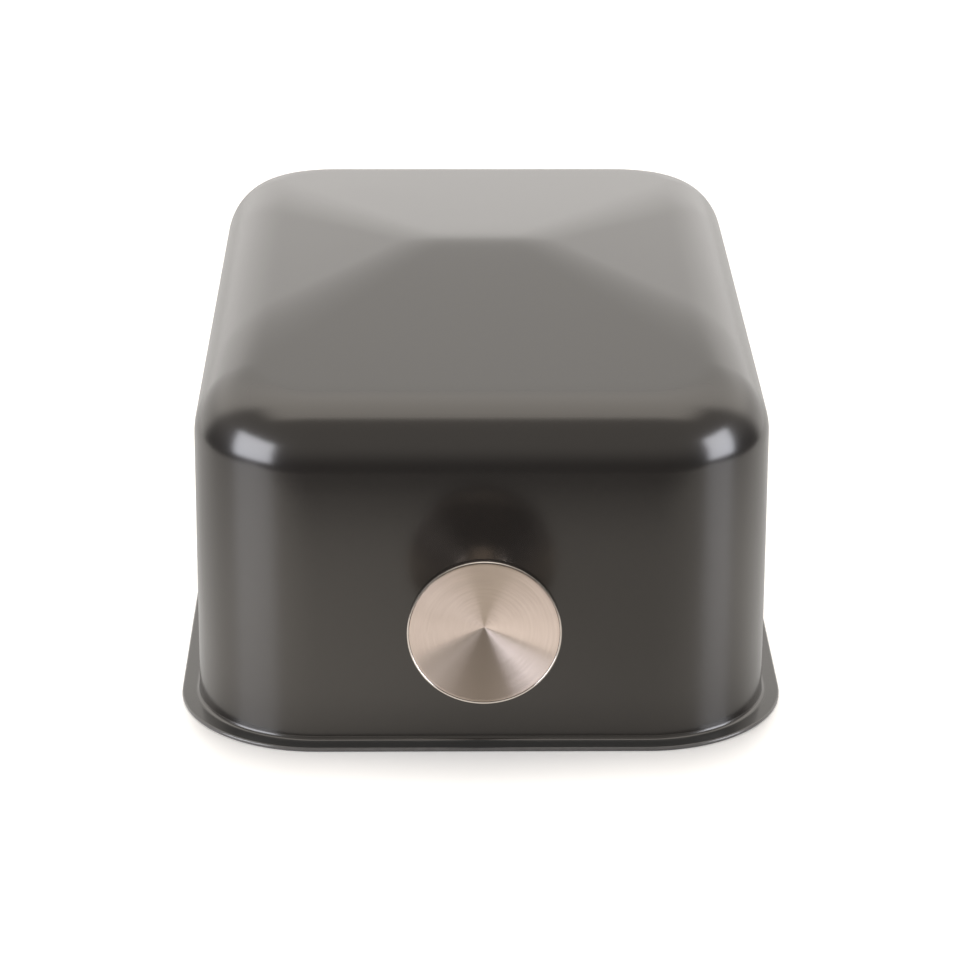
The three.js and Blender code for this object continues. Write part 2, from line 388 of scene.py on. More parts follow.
@dataclass(frozen=True)
class SteelFinish:
    """Bare stainless steel.

    Attributes:
        colour: Colour of the metal.
        dull_colour: Colour in the grooves and scuffs.
        gloss_low: Roughness of the brightest metal.
        gloss_high: Roughness of the dullest metal.
        grain: How the surface was finished.
        stretch: How far the grooves stretch highlights, 0 to 1.
        groove_depth: Height of the grooves, in metres.
        groove_turn: Metres of groove pattern for one radian round the axis.
        coarse_grooves: Coarse grooves along a metre of radius.
        fine_grooves: Fine grooves along a metre of radius.
        fine_share: Share of the fine grooves.
        groove_band: Values of that mix at the foot and at the crest of a groove.
        press_scale: Press marks along a metre, on metal without grooves.
        scuff_scale: Scuffs along a metre.
        scuff_share: Share of the scuffs in how the metal varies.
    """

    colour: Colour
    dull_colour: Colour
    gloss_low: float
    gloss_high: float
    grain: Grain
    stretch: float = 0.0
    groove_depth: float = 3.0e-6
    groove_turn: float = 0.0006
    coarse_grooves: float = 1100.0
    fine_grooves: float = 4200.0
    fine_share: float = 0.4
    groove_band: Band = (0.22, 0.78)
    press_scale: float = 900.0
    scuff_scale: float = 130.0
    scuff_share: float = 0.4

    def material(self, name: str) -> bpy.types.Material:
        """Builds the metal.

        Args:
            name: Name of the material.

        Returns:
            The material.
        """
        made = bpy.data.materials.new(name)
        made.use_nodes = True
        graph = Graph(made.node_tree)
        shader = made.node_tree.nodes["Principled BSDF"]
        shader.inputs["Metallic"].default_value = 1.0
        shader.inputs["Anisotropic"].default_value = self.stretch
        place = graph.add("ShaderNodeTexCoord").outputs["Object"]
        if self.grain is Grain.CIRCULAR:
            marks = self._grooves(graph, place)
        else:
            marks = graph.noise(place, self.press_scale, detail=4.0)
        mixed = graph.blend(marks, graph.noise(place, self.scuff_scale, detail=4.0), self.scuff_share)
        graph.join(graph.between(mixed, self.dull_colour, self.colour), shader.inputs["Base Color"])
        graph.join(graph.spread(mixed, self.gloss_high, self.gloss_low), shader.inputs["Roughness"])
        bump = graph.add("ShaderNodeBump", Strength=1.0, Distance=self.groove_depth)
        graph.join(marks, bump.inputs["Height"])
        graph.join(bump.outputs["Normal"], shader.inputs["Normal"])
        if self.stretch > 0.0:
            tangent = graph.tree.nodes.new("ShaderNodeTangent")
            tangent.direction_type = "RADIAL"
            tangent.axis = "Z"
            graph.join(tangent.outputs["Tangent"], shader.inputs["Tangent"])
            shader.inputs["Anisotropic Rotation"].default_value = QUARTER_TURN
        return made

    def _grooves(self, graph: Graph, place: Socket) -> Socket:
        """Makes fine grooves that run round the piece's own Z axis.

        Args:
            graph: The material's nodes.
            place: Position on the piece.

        Returns:
            Groove height, 0 to 1.
        """
        x, y, z = graph.parts(place)
        square = graph.sum_of("MULTIPLY_ADD", x, x, graph.sum_of("MULTIPLY", y, y))
        radius = graph.sum_of("SQRT", square)
        joined = graph.add("ShaderNodeCombineXYZ")
        graph.join(graph.sum_of("ADD", radius, z), joined.inputs["X"])
        turn = graph.sum_of("MULTIPLY", graph.sum_of("ARCTAN2", y, x), self.groove_turn)
        graph.join(turn, joined.inputs["Y"])
        fine = graph.noise(joined.outputs["Vector"], self.fine_grooves, detail=3.0)
        coarse = graph.noise(joined.outputs["Vector"], self.coarse_grooves)
        return graph.rise(graph.blend(coarse, fine, self.fine_share), self.groove_band)


BRUSHED_FRONT = SteelFinish(
    colour=(0.515, 0.42, 0.34),
    dull_colour=(0.41, 0.33, 0.262),
    gloss_low=0.21,
    gloss_high=0.26,
    grain=Grain.CIRCULAR,
    stretch=1.0,
)
POLISHED_HEAD = SteelFinish(
    colour=(0.72, 0.66, 0.6),
    dull_colour=(0.6, 0.52, 0.45),
    gloss_low=0.12,
    gloss_high=0.2,
    grain=Grain.POLISHED,
)
PLAIN_HARDWARE = SteelFinish(
    colour=(0.6, 0.6, 0.6),
    dull_colour=(0.45, 0.45, 0.45),
    gloss_low=0.25,
    gloss_high=0.45,
    grain=Grain.PLAIN,
)


def mesh_object(name: str, points: np.ndarray, faces: list[tuple[int, ...]]) -> bpy.types.Object:
    """Makes a smooth-shaded mesh object.

    Args:
        name: Name of the piece.
        points: Vertices in metres.
        faces: Vertex numbers of each face.

    Returns:
        The object, linked to the scene.
    """
    mesh = bpy.data.meshes.new(name)
    mesh.from_pydata(points.tolist(), [], faces)
    mesh.validate()
    mesh.polygons.foreach_set("use_smooth", [True] * len(mesh.polygons))
    made = bpy.data.objects.new(name, mesh)
    bpy.context.scene.collection.objects.link(made)
    return made


def ring_faces(rings: int, count: int) -> list[tuple[int, ...]]:
    """Quads between neighbouring rings of equal length.

    Args:
        rings: Number of rings.
        count: Points on each ring.

    Returns:
        Vertex numbers of each quad.
    """
    faces = []
    for ring in range(rings - 1):
        for i in range(count):
            a = ring * count + i
            b = ring * count + (i + 1) % count
            faces.append((a, b, b + count, a + count))
    return faces


def revolve(name: str, profile: Profile, steps: int) -> bpy.types.Object:
    """Revolves a closed profile about Z.

    Args:
        name: Name of the piece.
        profile: Radius and height of each point in millimetres, counter-clockwise.
        steps: Steps round the axis.

    Returns:
        The object, at the origin.
    """
    turn = np.linspace(0.0, 2.0 * math.pi, steps, endpoint=False)
    on_axis = profile[0][0] == 0.0
    body = profile if on_axis else [*profile, profile[0]]
    return skin(name, [
        np.column_stack([radius * np.cos(turn), radius * np.sin(turn), np.full(steps, height)])
        for radius, height in body
    ])


def skin(name: str, rings: list[np.ndarray]) -> bpy.types.Object:
    """Skins a stack of rings and joins the points that coincide.

    Args:
        name: Name of the piece.
        rings: Rings of equal length in millimetres. One shrunk to a point or a line closes the skin.

    Returns:
        The object, at the origin.
    """
    made = mesh_object(name, np.concatenate(rings) * MM, ring_faces(len(rings), len(rings[0])))
    work = bmesh.new()
    work.from_mesh(made.data)
    bmesh.ops.remove_doubles(work, verts=work.verts, dist=SAME_PLACE)
    work.to_mesh(made.data)
    work.free()
    made.data.set_sharp_from_angle(angle=SHARP)
    return made


def rounded(profile: Profile, radius: float, steps: int = 4) -> Profile:
    """Rounds the corners of a closed profile.

    Args:
        profile: Corner points.
        radius: Radius of the rounding, kept under a third of each edge.
        steps: Steps in each rounding.

    Returns:
        The rounded profile.
    """
    made: Profile = []
    for i, corner in enumerate(profile):
        here = Vector(corner)
        before = Vector(profile[i - 1]) - here
        after = Vector(profile[(i + 1) % len(profile)]) - here
        if here.x == 0.0:
            made.append(corner)
            continue
        reach = min(radius, before.length / 3.0, after.length / 3.0)
        start = here + before.normalized() * reach
        end = here + after.normalized() * reach
        for step in range(steps + 1):
            share = step / steps
            point = start * (1 - share) ** 2 + here * 2 * share * (1 - share) + end * share**2
            made.append((point.x, point.y))
    return made


def fit_out(piece: bpy.types.Object, material: bpy.types.Material, slot: Slot, *nodes: str) -> None:
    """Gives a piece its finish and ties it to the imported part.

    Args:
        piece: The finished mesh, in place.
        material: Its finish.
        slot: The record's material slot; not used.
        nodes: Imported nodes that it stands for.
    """
    piece.data.materials.append(material)
    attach(piece, BODY)
    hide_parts(*nodes)
    log.info("%s stands for %s, %d points", piece.name, ", ".join(nodes), len(piece.data.vertices))


@dataclass
class Cover:
    """Drawn cover: flange, walls, shoulder and hipped roof in one sheet, sizes in millimetres.

    Attributes:
        width: Across the walls at the flange.
        length: Along the walls at the flange.
        sheet: Thickness of the metal.
        corner: Radius of the plan's corners.
        draft: Lean of the walls, as a slope.
        flange: Reach of the flange beyond the wall.
        bend: Radius of the bend at the flange's root.
        wall: Height of the walls up to the shoulder.
        shoulder: Rise of the shoulder at the ends.
        end_slope: Slope of the roof's end faces.
        side_slope: Slope of the roof's side faces.
        ridge: Length of the ridge.
        ridge_soft: How far the ridge is rounded.
        hip_top: Width of the hips' rounding at the ridge.
        hip_foot: Width of the hips' rounding at the ends.
        centre: Middle of the plan along the length.
        edge_round: Radius of the flange's rounded edge, as a share of the sheet.
        end_steps: Mesh steps on half of an end.
        corner_steps: Mesh steps on a corner.
        side_steps: Mesh steps on half of a side.
        inner_fine: How finely the inside is divided.
        outer_fine: How finely the outside is divided.
        ridge_crowding: How much the roof's rings draw together toward the ridge.
        core: Arc centre of each station round the plan, as shares of the plan's core.
        out: Outward direction at each station.
    """

    width: float = 190.0
    length: float = 281.0
    sheet: float = 1.5
    corner: float = 41.0
    draft: float = math.tan(math.radians(0.4))
    flange: float = 6.0
    bend: float = 1.5
    wall: float = 95.0
    shoulder: float = 19.6
    end_slope: float = math.tan(math.radians(5.7))
    side_slope: float = math.tan(math.radians(7.4))
    ridge: float = 44.0
    ridge_soft: float = 6.0
    hip_top: float = 15.0
    hip_foot: float = 44.0
    centre: float = 0.0
    edge_round: float = 0.42
    end_steps: int = 22
    corner_steps: int = 26
    side_steps: int = 34
    inner_fine: int = 3
    outer_fine: int = 4
    ridge_crowding: float = 1.5
    core: np.ndarray = field(init=False)
    out: np.ndarray = field(init=False)

    def __post_init__(self) -> None:
        """Lays out the stations round the plan."""
        self.core, self.out = self._stations()

    @property
    def inset(self) -> float:
        """How far the lean brings the wall in by its top."""
        return self.wall * self.draft

    @property
    def crest(self) -> float:
        """Height of the ridge."""
        run = self.length / 2 - self.inset - self.ridge_soft
        return self.wall + self.shoulder + self.end_slope * run

    def _stations(self) -> tuple[np.ndarray, np.ndarray]:
        """Places stations once round the rounded plan, counter-clockwise from above.

        Returns:
            Place of each arc centre as shares of the core, and the outward directions.
        """
        core: list[tuple[float, float]] = []
        angle: list[float] = []
        lead, trail = self.side_steps, self.end_steps
        for quarter, (sign_x, sign_y) in enumerate(((1, 1), (-1, 1), (-1, -1), (1, -1))):
            side_first = quarter % 2 == 0
            for step in range(lead):
                share = step / lead
                core.append((sign_x, sign_y * share) if side_first else (sign_x * share, sign_y))
                angle.append(quarter * 90.0)
            for step in range(self.corner_steps):
                core.append((sign_x, sign_y))
                angle.append(quarter * 90.0 + 90.0 * step / self.corner_steps)
            for step in range(trail):
                share = 1.0 - step / trail
                core.append((sign_x * share, sign_y) if side_first else (sign_x, sign_y * share))
                angle.append(quarter * 90.0 + 90.0)
            lead, trail = trail, lead
        turn = np.radians(angle)
        return np.array(core, float), np.column_stack([np.cos(turn), np.sin(turn)])

    def plan(self, offset: np.ndarray | float) -> np.ndarray:
        """Points of the plan, moved out by an offset.

        Args:
            offset: One offset, or one for each station.

        Returns:
            Plan points.
        """
        half = np.array([self.width / 2 - self.corner, self.length / 2 - self.corner])
        reach = self.corner + np.broadcast_to(offset, len(self.core))
        return self.core * half + self.out * reach[:, None]

    def roof(self, points: np.ndarray) -> np.ndarray:
        """Height of the roof above plan points.

        Args:
            points: Plan points.

        Returns:
            Heights.
        """
        x, y = np.abs(points[:, 0]), points[:, 1]
        ends = self.crest - self.end_slope * (np.hypot(y, self.ridge_soft) - self.ridge_soft)
        sides = self.crest - self.side_slope * (x - self.ridge / 2)
        hip = self.hip_top + (self.hip_foot - self.hip_top) * np.abs(y) / (self.length / 2)
        blend = hip / 2 * math.hypot(self.end_slope, self.side_slope)
        overlap = np.maximum(blend - np.abs(ends - sides), 0.0) / blend
        return np.minimum(ends, sides) - overlap**2 * blend / 4

    def shoulder_radius(self) -> np.ndarray:
        """Radius of the shoulder at each station."""
        return self.roof(self.plan(-self.inset)) - self.wall

    def level(self, offset: float, height: float) -> np.ndarray:
        """Ring at one offset and height."""
        return np.column_stack([self.plan(offset), np.full(len(self.core), height)])

    def sheet_rings(self, depth: float, fine: int) -> list[np.ndarray]:
        """Rings of one side of the sheet, from the flange's root up to the ridge.

        Args:
            depth: 0 for the outer side, the sheet's thickness for the inner side.
            fine: How finely it is divided. Bend, wall, shoulder and roof get 2, 3, 6 and 12 times
                as many steps.

        Returns:
            The rings.
        """
        rings = []
        heart = self.sheet + self.bend
        for turn in np.linspace(math.pi / 2, 0.0, 2 * fine + 1):
            bend = self.bend + depth
            rings.append(self.level(self.bend - bend * math.cos(turn), heart - bend * math.sin(turn)))
        for share in np.linspace(0.0, 1.0, 3 * fine + 1)[1:-1]:
            height = heart + (self.wall - heart) * share
            rings.append(self.level(-depth - height * self.draft, height))
        radius = self.shoulder_radius()
        for turn in np.linspace(0.0, math.pi / 2, 6 * fine + 1):
            plan = self.plan((radius - depth) * math.cos(turn) - radius - self.inset)
            height = self.roof(plan) - radius + (radius - depth) * math.sin(turn)
            rings.append(np.column_stack([plan, height]))
        foot = self.plan(-radius - self.inset)
        ridge = self.core * np.array([self.ridge / 2, 0.0])
        for share in np.linspace(0.0, 1.0, 12 * fine + 1)[1:]:
            plan = foot + (ridge - foot) * (1.0 - (1.0 - share) ** self.ridge_crowding)
            rings.append(np.column_stack([plan, self.roof(plan) - depth]))
        return rings

    def edge_rings(self, steps: int = 6) -> list[np.ndarray]:
        """Rings of the flange's outer edge, rounded over half the sheet.

        Args:
            steps: Steps in the rounding.

        Returns:
            The rings, from the underside up.
        """
        radius = self.sheet * self.edge_round
        middle = self.flange - radius
        rings = []
        for base, start in ((radius, -90.0), (self.sheet - radius, 0.0)):
            for step in range(steps + 1):
                turn = math.radians(start + 90.0 * step / steps)
                offset = middle + radius * math.cos(turn)
                rings.append(self.level(offset, base + radius * math.sin(turn)))
        return rings

    def build(self) -> bpy.types.Object:
        """Builds the cover from the ridge's underside round the flange to the ridge's top.

        Returns:
            The cover's mesh, in place.
        """
        inside = reversed(self.sheet_rings(self.sheet, self.inner_fine))
        rings = [*inside, *self.edge_rings(), *self.sheet_rings(0.0, self.outer_fine)]
        return skin("cover_skin", [ring + (0.0, self.centre, 0.0) for ring in rings])

    def dress(self, finish: CoatFinish) -> None:
        """Builds the cover and gives it its coat."""
        fit_out(self.build(), finish.material("satin_baking_coat"), Slot.SHELL, "shell")


@dataclass
class Knob:
    """Round knob with its dished front, and the screw that holds it, sizes in millimetres.

    Attributes:
        place: Where the axis meets the outside of the front wall.
        lean: Lean of the axis, square to the wall, in radians.
        reach: From the wall to the rim.
        face: Radius of the rim.
        rim: Width of the rim's plain band.
        chamfer: Chamfer on the rim.
        lip: Thickness of the lip round the front disc.
        cone_rise: Rise of the head's conical back from neck to rim.
        neck: Radius of the neck.
        fillet: Radius of the fillet between neck and head.
        sheet: Thickness of the knob's body.
        dish: Depth of the front's dish.
        setback: How far the front lies behind the rim.
        face_sheet: Thickness of the front disc.
        face_gap: Clearance round the front disc.
        land: Width of the disc's flat edge.
        gap: Clearance between pieces.
        hole: Clearance of a hole round the screw.
        foot_bore: Radius of the opening in the in-turned foot.
        plug_length: Length of the threaded plug in the neck.
        screw: Radius of the screw.
        screw_grip: Length of the screw inside the plug.
        pitch: Pitch of the thread.
        head: Radius of the screw's head.
        head_height: Height of the screw's head.
        slot_width: Width of the cross recess in the head.
        slot_length: Length of the cross recess.
        slot_depth: Depth of the cross recess.
        washer: Radius of the flat washer.
        washer_sheet: Thickness of the flat washer.
        spring: Radius of the lock washer.
        spring_sheet: Thickness of the lock washer.
        spring_slit: Width of the lock washer's slit.
        wall_sheet: Thickness of the wall that it is screwed to.
        edge_ease: Ease on small edges.
        lip_ease: Ease on the lip's inner edge.
        chamfer_bow: How far the middle of the rim's chamfer lies in from the corner, as a share of it.
        rim_round: How far the rounding at the rim's back edge reaches back and forward.
        cone_stop: How far from the rim the straight part of the cone ends.
        foot_round: Rounding of the foot's outer edge.
        plug_round: Rounding of the plug's edges.
        washer_round: Rounding of the flat washer's edges.
        spring_round: Rounding of the lock washer's edges.
        dome_share: Share of the screw head's height that is straight.
        thread_start: How far from the head the thread starts.
        thread_steps: Mesh steps along one turn of the thread.
        thread_slope: How much deeper the thread's flank gets for each millimetre along the axis.
        thread_crest: Half width of the thread's crest, as a share of the pitch.
        thread_flank: Width of the thread's flank, as a share of the pitch.
        slot_ease: Width of the slope at the recess's edge.
    """

    place: tuple[float, float, float]
    lean: float
    reach: float = 30.0
    face: float = 24.35
    rim: float = 3.0
    chamfer: float = 0.14
    lip: float = 0.5
    cone_rise: float = 9.0
    neck: float = 8.5
    fillet: float = 1.0
    sheet: float = 1.5
    dish: float = 5.0
    setback: float = 0.1
    face_sheet: float = 1.2
    face_gap: float = 0.1
    land: float = 0.3
    gap: float = 0.3
    hole: float = 0.4
    foot_bore: float = 5.5
    plug_length: float = 13.0
    screw: float = 3.0
    screw_grip: float = 11.0
    pitch: float = 1.0
    head: float = 5.6
    head_height: float = 3.4
    slot_width: float = 1.4
    slot_length: float = 5.6
    slot_depth: float = 1.6
    washer: float = 8.0
    washer_sheet: float = 1.2
    spring: float = 5.4
    spring_sheet: float = 1.5
    spring_slit: float = 1.0
    wall_sheet: float = 1.5
    edge_ease: float = 0.1
    lip_ease: float = 0.06
    chamfer_bow: float = 0.3
    rim_round: Band = (0.02, 0.15)
    cone_stop: float = 0.3
    foot_round: float = 0.4
    plug_round: float = 0.4
    washer_round: float = 0.2
    spring_round: float = 0.18
    dome_share: float = 0.45
    thread_start: float = 0.5
    thread_steps: int = 12
    thread_slope: float = 1.2
    thread_crest: float = 0.06
    thread_flank: float = 0.38
    slot_ease: float = 0.15

    @classmethod
    def on_wall(cls, cover: Cover, height: float = 53.2) -> "Knob":
        """Sets a knob square on the cover's front wall.

        Args:
            cover: The cover that carries it.
            height: Height of its axis at the wall.

        Returns:
            The knob.
        """
        wall_y = cover.centre - (cover.length / 2 - height * cover.draft)
        return cls(place=(0.0, wall_y, height), lean=math.atan(cover.draft))

    def seat(self, piece: bpy.types.Object) -> bpy.types.Object:
        """Turns a piece built about Z onto the knob's axis.

        Args:
            piece: The piece, at the origin.

        Returns:
            The same piece, in place.
        """
        turn = Matrix.Rotation(math.pi / 2 - self.lean, 4, "X")
        piece.matrix_world = Matrix.Translation(Vector(self.place) * MM) @ turn
        return piece

    @property
    def disc(self) -> float:
        """Radius of the front disc."""
        return self.face - self.lip - self.face_gap

    @property
    def slope(self) -> float:
        """Slope of the dish."""
        return self.dish / (self.disc - self.land)

    def body(self) -> bpy.types.Object:
        """Builds the neck and head.

        Returns:
            The body, in place.
        """
        inside = self.neck - self.sheet
        bore = 3 * self.gap + self.sheet + self.plug_length
        ledge = self.gap + self.sheet
        seat = self.reach - self.setback - self.face_sheet - self.gap
        back = self.reach - self.rim
        spread = self.cone_rise / (self.face - self.neck)
        middle = self.neck + self.fillet
        low = back - spread * (self.face - middle) - self.fillet * math.hypot(1.0, spread)
        turns = np.linspace(math.pi, math.pi / 2 + math.atan(spread), FILLET_POINTS)
        fillet = [(middle + self.fillet * math.cos(a), low + self.fillet * math.sin(a)) for a in turns]
        radii = np.linspace(fillet[-1][0], self.face - self.cone_stop, CONE_POINTS)
        cone = [(radius, back - spread * (self.face - radius)) for radius in radii]
        hollow = [
            (0.0, bore),
            (inside, bore),
            (inside, ledge),
            (self.foot_bore, ledge),
            (self.foot_bore, self.gap),
        ]
        foot = [
            (self.neck - self.foot_round, self.gap),
            (self.neck - self.edge_ease, self.gap + self.edge_ease),
            (self.neck, self.gap + self.foot_round),
        ]
        bow = self.chamfer * self.chamfer_bow
        rim = [
            (self.face - self.edge_ease, back - self.rim_round[0]),
            (self.face, back + self.rim_round[1]),
            (self.face, self.reach - self.chamfer),
            (self.face - bow, self.reach - bow),
            (self.face - self.chamfer, self.reach),
            (self.face - self.lip + self.lip_ease, self.reach),
            (self.face - self.lip, self.reach - self.lip_ease),
        ]
        flat = self.disc - self.land
        shelf = [(self.face - self.lip, seat), (flat, seat), (0.0, seat - self.slope * flat)]
        profile = [*hollow, *foot, *fillet, *cone[1:], *rim, *shelf]
        return self.seat(revolve("knob_head", profile, HEAD_STEPS))

    def front(self) -> bpy.types.Object:
        """Builds the dished front disc.

        Returns:
            The disc, in place.
        """
        front = self.reach - self.setback
        flat = self.disc - self.land
        back = [(0.0, front - self.dish - self.face_sheet), (flat, front - self.face_sheet)]
        edge = [
            (self.disc, front - self.face_sheet),
            (self.disc, front - self.edge_ease),
            (self.disc - self.edge_ease, front),
        ]
        shares = np.linspace(0.0, 1.0, DISH_POINTS)
        dish = [(flat * (1.0 - share), front - self.dish * share) for share in shares]
        return self.seat(revolve("knob_dish", [*back, *edge, *dish], HEAD_STEPS))

    def plug(self) -> bpy.types.Object:
        """Builds the threaded plug in the neck.

        Returns:
            The plug, in place.
        """
        foot = 2 * self.gap + self.sheet
        top = foot + self.plug_length
        outer = self.neck - self.sheet - self.gap
        bore = self.screw + self.gap
        profile = rounded([(bore, foot), (outer, foot), (outer, top), (bore, top)], self.plug_round)
        return self.seat(revolve("knob_neck_plug", profile, PLUG_STEPS))

    def washers(self) -> tuple[bpy.types.Object, bpy.types.Object, float]:
        """Builds the flat washer and the lock washer behind the wall.

        Returns:
            Both washers, in place, and where the screw's head sits.
        """
        inner = self.screw + self.hole
        front = -self.wall_sheet - self.gap
        back = front - self.washer_sheet
        corners = [(inner, back), (self.washer, back), (self.washer, front), (inner, front)]
        profile = rounded(corners, self.washer_round)
        flat_washer = self.seat(revolve("wall_washer", profile, WASHER_STEPS))
        spring_back = back - self.gap - self.spring_sheet
        lock_washer = self.seat(self._split_ring(spring_back))
        return flat_washer, lock_washer, spring_back - self.gap

    def _split_ring(self, back: float) -> bpy.types.Object:
        """Builds the lock washer, a ring with one slit.

        Args:
            back: Where its back face lies along the axis.

        Returns:
            The ring, at the origin.
        """
        inner, outer, front = self.screw + self.hole, self.spring, back + self.spring_sheet
        corners = [(inner, back), (outer, back), (outer, front), (inner, front)]
        section = rounded(corners, self.spring_round)
        half_slit = self.spring_slit / 2 / outer
        points = [
            (radius * math.cos(turn), radius * math.sin(turn), height)
            for turn in np.linspace(half_slit, 2 * math.pi - half_slit, SPRING_STEPS)
            for radius, height in section
        ]
        count = len(section)
        faces = [face[::-1] for face in ring_faces(SPRING_STEPS, count)]
        faces.append(tuple(range(count)))
        faces.append(tuple(reversed(range((SPRING_STEPS - 1) * count, SPRING_STEPS * count))))
        return mesh_object("spring_washer", np.array(points) * MM, faces)

    def fastener(self, head_seat: float) -> bpy.types.Object:
        """Builds the screw, with its domed head inside the cover.

        Args:
            head_seat: Where the head sits along the axis.

        Returns:
            The screw, in place.
        """
        tip = 2 * self.gap + self.sheet + self.screw_grip
        point = self.screw / 3
        top = head_seat - self.head_height
        edge = head_seat - self.head_height * self.dome_share
        shares = np.linspace(0.0, 1.0, DOME_POINTS)
        dome = [(self.head * s, edge + (top - edge) * math.sqrt(1.0 - s * s)) for s in shares]
        neck = [
            (self.head, head_seat - self.edge_ease),
            (self.head - self.edge_ease, head_seat),
            (self.screw, head_seat),
        ]
        heights = np.arange(head_seat + self.thread_start, tip, self.pitch / self.thread_steps)
        shank = [(min(self.screw, self.screw - point + tip - height), height) for height in heights]
        turn = np.linspace(0.0, 2.0 * math.pi, SCREW_STEPS, endpoint=False)
        rings = []
        for radius, height in [*dome, *neck, *shank, (self.screw - point, tip), (0.0, tip)]:
            around = radius - self._thread(turn, height) * (height > head_seat and radius > 0.0)
            x, y = around * np.cos(turn), around * np.sin(turn)
            sunk = self._recess(x, y) * (height <= edge)
            rings.append(np.column_stack([x, y, np.maximum(height, top + sunk)]))
        return self.seat(skin("wall_screw", rings))

    def _thread(self, turn: np.ndarray, height: float) -> np.ndarray:
        """Finds how deep the screw's thread is cut.

        Args:
            turn: Angles round the axis.
            height: Place along the axis.

        Returns:
            Depths below the thread's crest.
        """
        wave = np.abs((height / self.pitch + turn / (2.0 * math.pi)) % 1.0 - 0.5)
        flank = np.clip(wave - self.thread_crest, 0.0, self.thread_flank)
        return self.thread_slope * self.pitch * flank

    def _recess(self, x: np.ndarray, y: np.ndarray) -> np.ndarray:
        """Depth of the cross recess in the screw's head.

        Args:
            x: Places across the head.
            y: Places across the head, square to x.

        Returns:
            Depths, 0 outside the cross.
        """
        longer, shorter = np.maximum(np.abs(x), np.abs(y)), np.minimum(np.abs(x), np.abs(y))
        inside = np.minimum(self.slot_length / 2 - longer, self.slot_width / 2 - shorter)
        return self.slot_depth * np.clip(inside / self.slot_ease, 0.0, 1.0)

    def dress(self, brushed: SteelFinish, bright: SteelFinish, plain: SteelFinish) -> None:
        """Builds every piece of the knob and gives each its finish.

        Args:
            brushed: Finish of the front disc.
            bright: Finish of the neck and head.
            plain: Finish of the hidden hardware.
        """
        metal = plain.material("plain_hardware")
        flat_washer, lock_washer, head_seat = self.washers()
        fit_out(self.body(), bright.material("polished_head"), Slot.KNOB, "knob_body")
        fit_out(self.front(), brushed.material("circular_brushed"), Slot.KNOB, "knob_face")
        fit_out(self.plug(), metal, Slot.HARDWARE, "knob_plug")
        fit_out(flat_washer, metal, Slot.HARDWARE, "flat_washer")
        fit_out(lock_washer, metal, Slot.HARDWARE, "lock_washer")
        fit_out(self.fastener(head_seat), metal, Slot.HARDWARE, "knob_screw")


@dataclass
class Camera:
    """The photograph's viewpoint, in millimetres and degrees, with the plan's middle at Y 0.

    Attributes:
        place: Where the camera stands.
        pitch: How far it looks down.
        yaw: How far it looks to the right.
        roll: How far it is tilted.
        focal: Focal length in pixels of the square picture.
        pixels: Side of the picture.
        sensor: Width of the sensor.
        sight: How far it sees, in metres.
    """

    place: tuple[float, float, float] = (-15.45, -1128.19, 496.54)
    pitch: float = 22.2
    yaw: float = 0.83
    roll: float = 0.23
    focal: float = 3359.77
    pixels: float = 960.0
    sensor: float = 36.0
    sight: float = 50.0

    def stand(self, centre: float) -> None:
        """Places the camera.

        Args:
            centre: Middle of the cover's plan along Y, in millimetres.
        """
        data = bpy.data.cameras.new("photo_view")
        data.sensor_width = self.sensor
        data.lens = self.focal * self.sensor / self.pixels
        data.clip_end = self.sight
        pitch, yaw, roll = (math.radians(a) for a in (self.pitch, self.yaw, self.roll))
        forward = math.cos(pitch)
        ahead = Vector((math.sin(yaw) * forward, math.cos(yaw) * forward, -math.sin(pitch)))
        right = ahead.cross(Vector((0, 0, 1))).normalized()
        up = right.cross(ahead)
        right, up = (
            right * math.cos(roll) + up * math.sin(roll),
            up * math.cos(roll) - right * math.sin(roll),
        )
        view = Matrix((right, up, -ahead)).transposed().to_4x4()
        camera = bpy.data.objects.new("photo_view", data)
        spot = Vector(self.place) + Vector((0.0, centre, 0.0))
        camera.matrix_world = Matrix.Translation(spot * MM) @ view
        bpy.context.scene.collection.objects.link(camera)
        bpy.context.scene.camera = camera


@dataclass
class Softbox:
    """One softbox, an even sheet of light.

    Attributes:
        name: Its name.
        place: Where its middle hangs, in metres.
        aim: What it points at, in metres.
        size: Width and height, in metres.
        brightness: Light from each part of its face, where 1 is white.
        colour: Colour of its light.
        only: Names of the pieces that it lights, or none for all.
        shadows: Names of the pieces that cast a shadow in its light, or none for all.
    """

    name: str
    place: tuple[float, float, float]
    aim: tuple[float, float, float]
    size: tuple[float, float]
    brightness: float
    colour: Colour = (1.0, 1.0, 1.0)
    only: tuple[str, ...] = ()
    shadows: tuple[str, ...] = ()

    def _gather(self, purpose: str, names: tuple[str, ...]) -> bpy.types.Collection:
        """Gathers pieces that the lamp treats in a way of its own.

        Args:
            purpose: Word for what they have in common.
            names: Names of the pieces.

        Returns:
            The pieces' collection.
        """
        group = bpy.data.collections.new(self.name + "_" + purpose)
        for name in names:
            group.objects.link(bpy.data.objects[name])
        return group

    def hang(self) -> None:
        """Makes the lamp and aims it."""
        data = bpy.data.lights.new(self.name, "AREA")
        data.shape = "RECTANGLE"
        data.size, data.size_y = self.size
        data.energy = self.brightness * math.pi * self.size[0] * self.size[1]
        data.color = self.colour
        lamp = bpy.data.objects.new(self.name, data)
        lamp.location = self.place
        lamp.rotation_mode = "QUATERNION"
        lamp.rotation_quaternion = (Vector(self.aim) - Vector(self.place)).to_track_quat("-Z", "Y")
        lamp.visible_camera = False
        bpy.context.scene.collection.objects.link(lamp)
        if self.only:
            lamp.light_linking.receiver_collection = self._gather("lit", self.only)
        if self.shadows:
            lamp.light_linking.blocker_collection = self._gather("shadows", self.shadows)


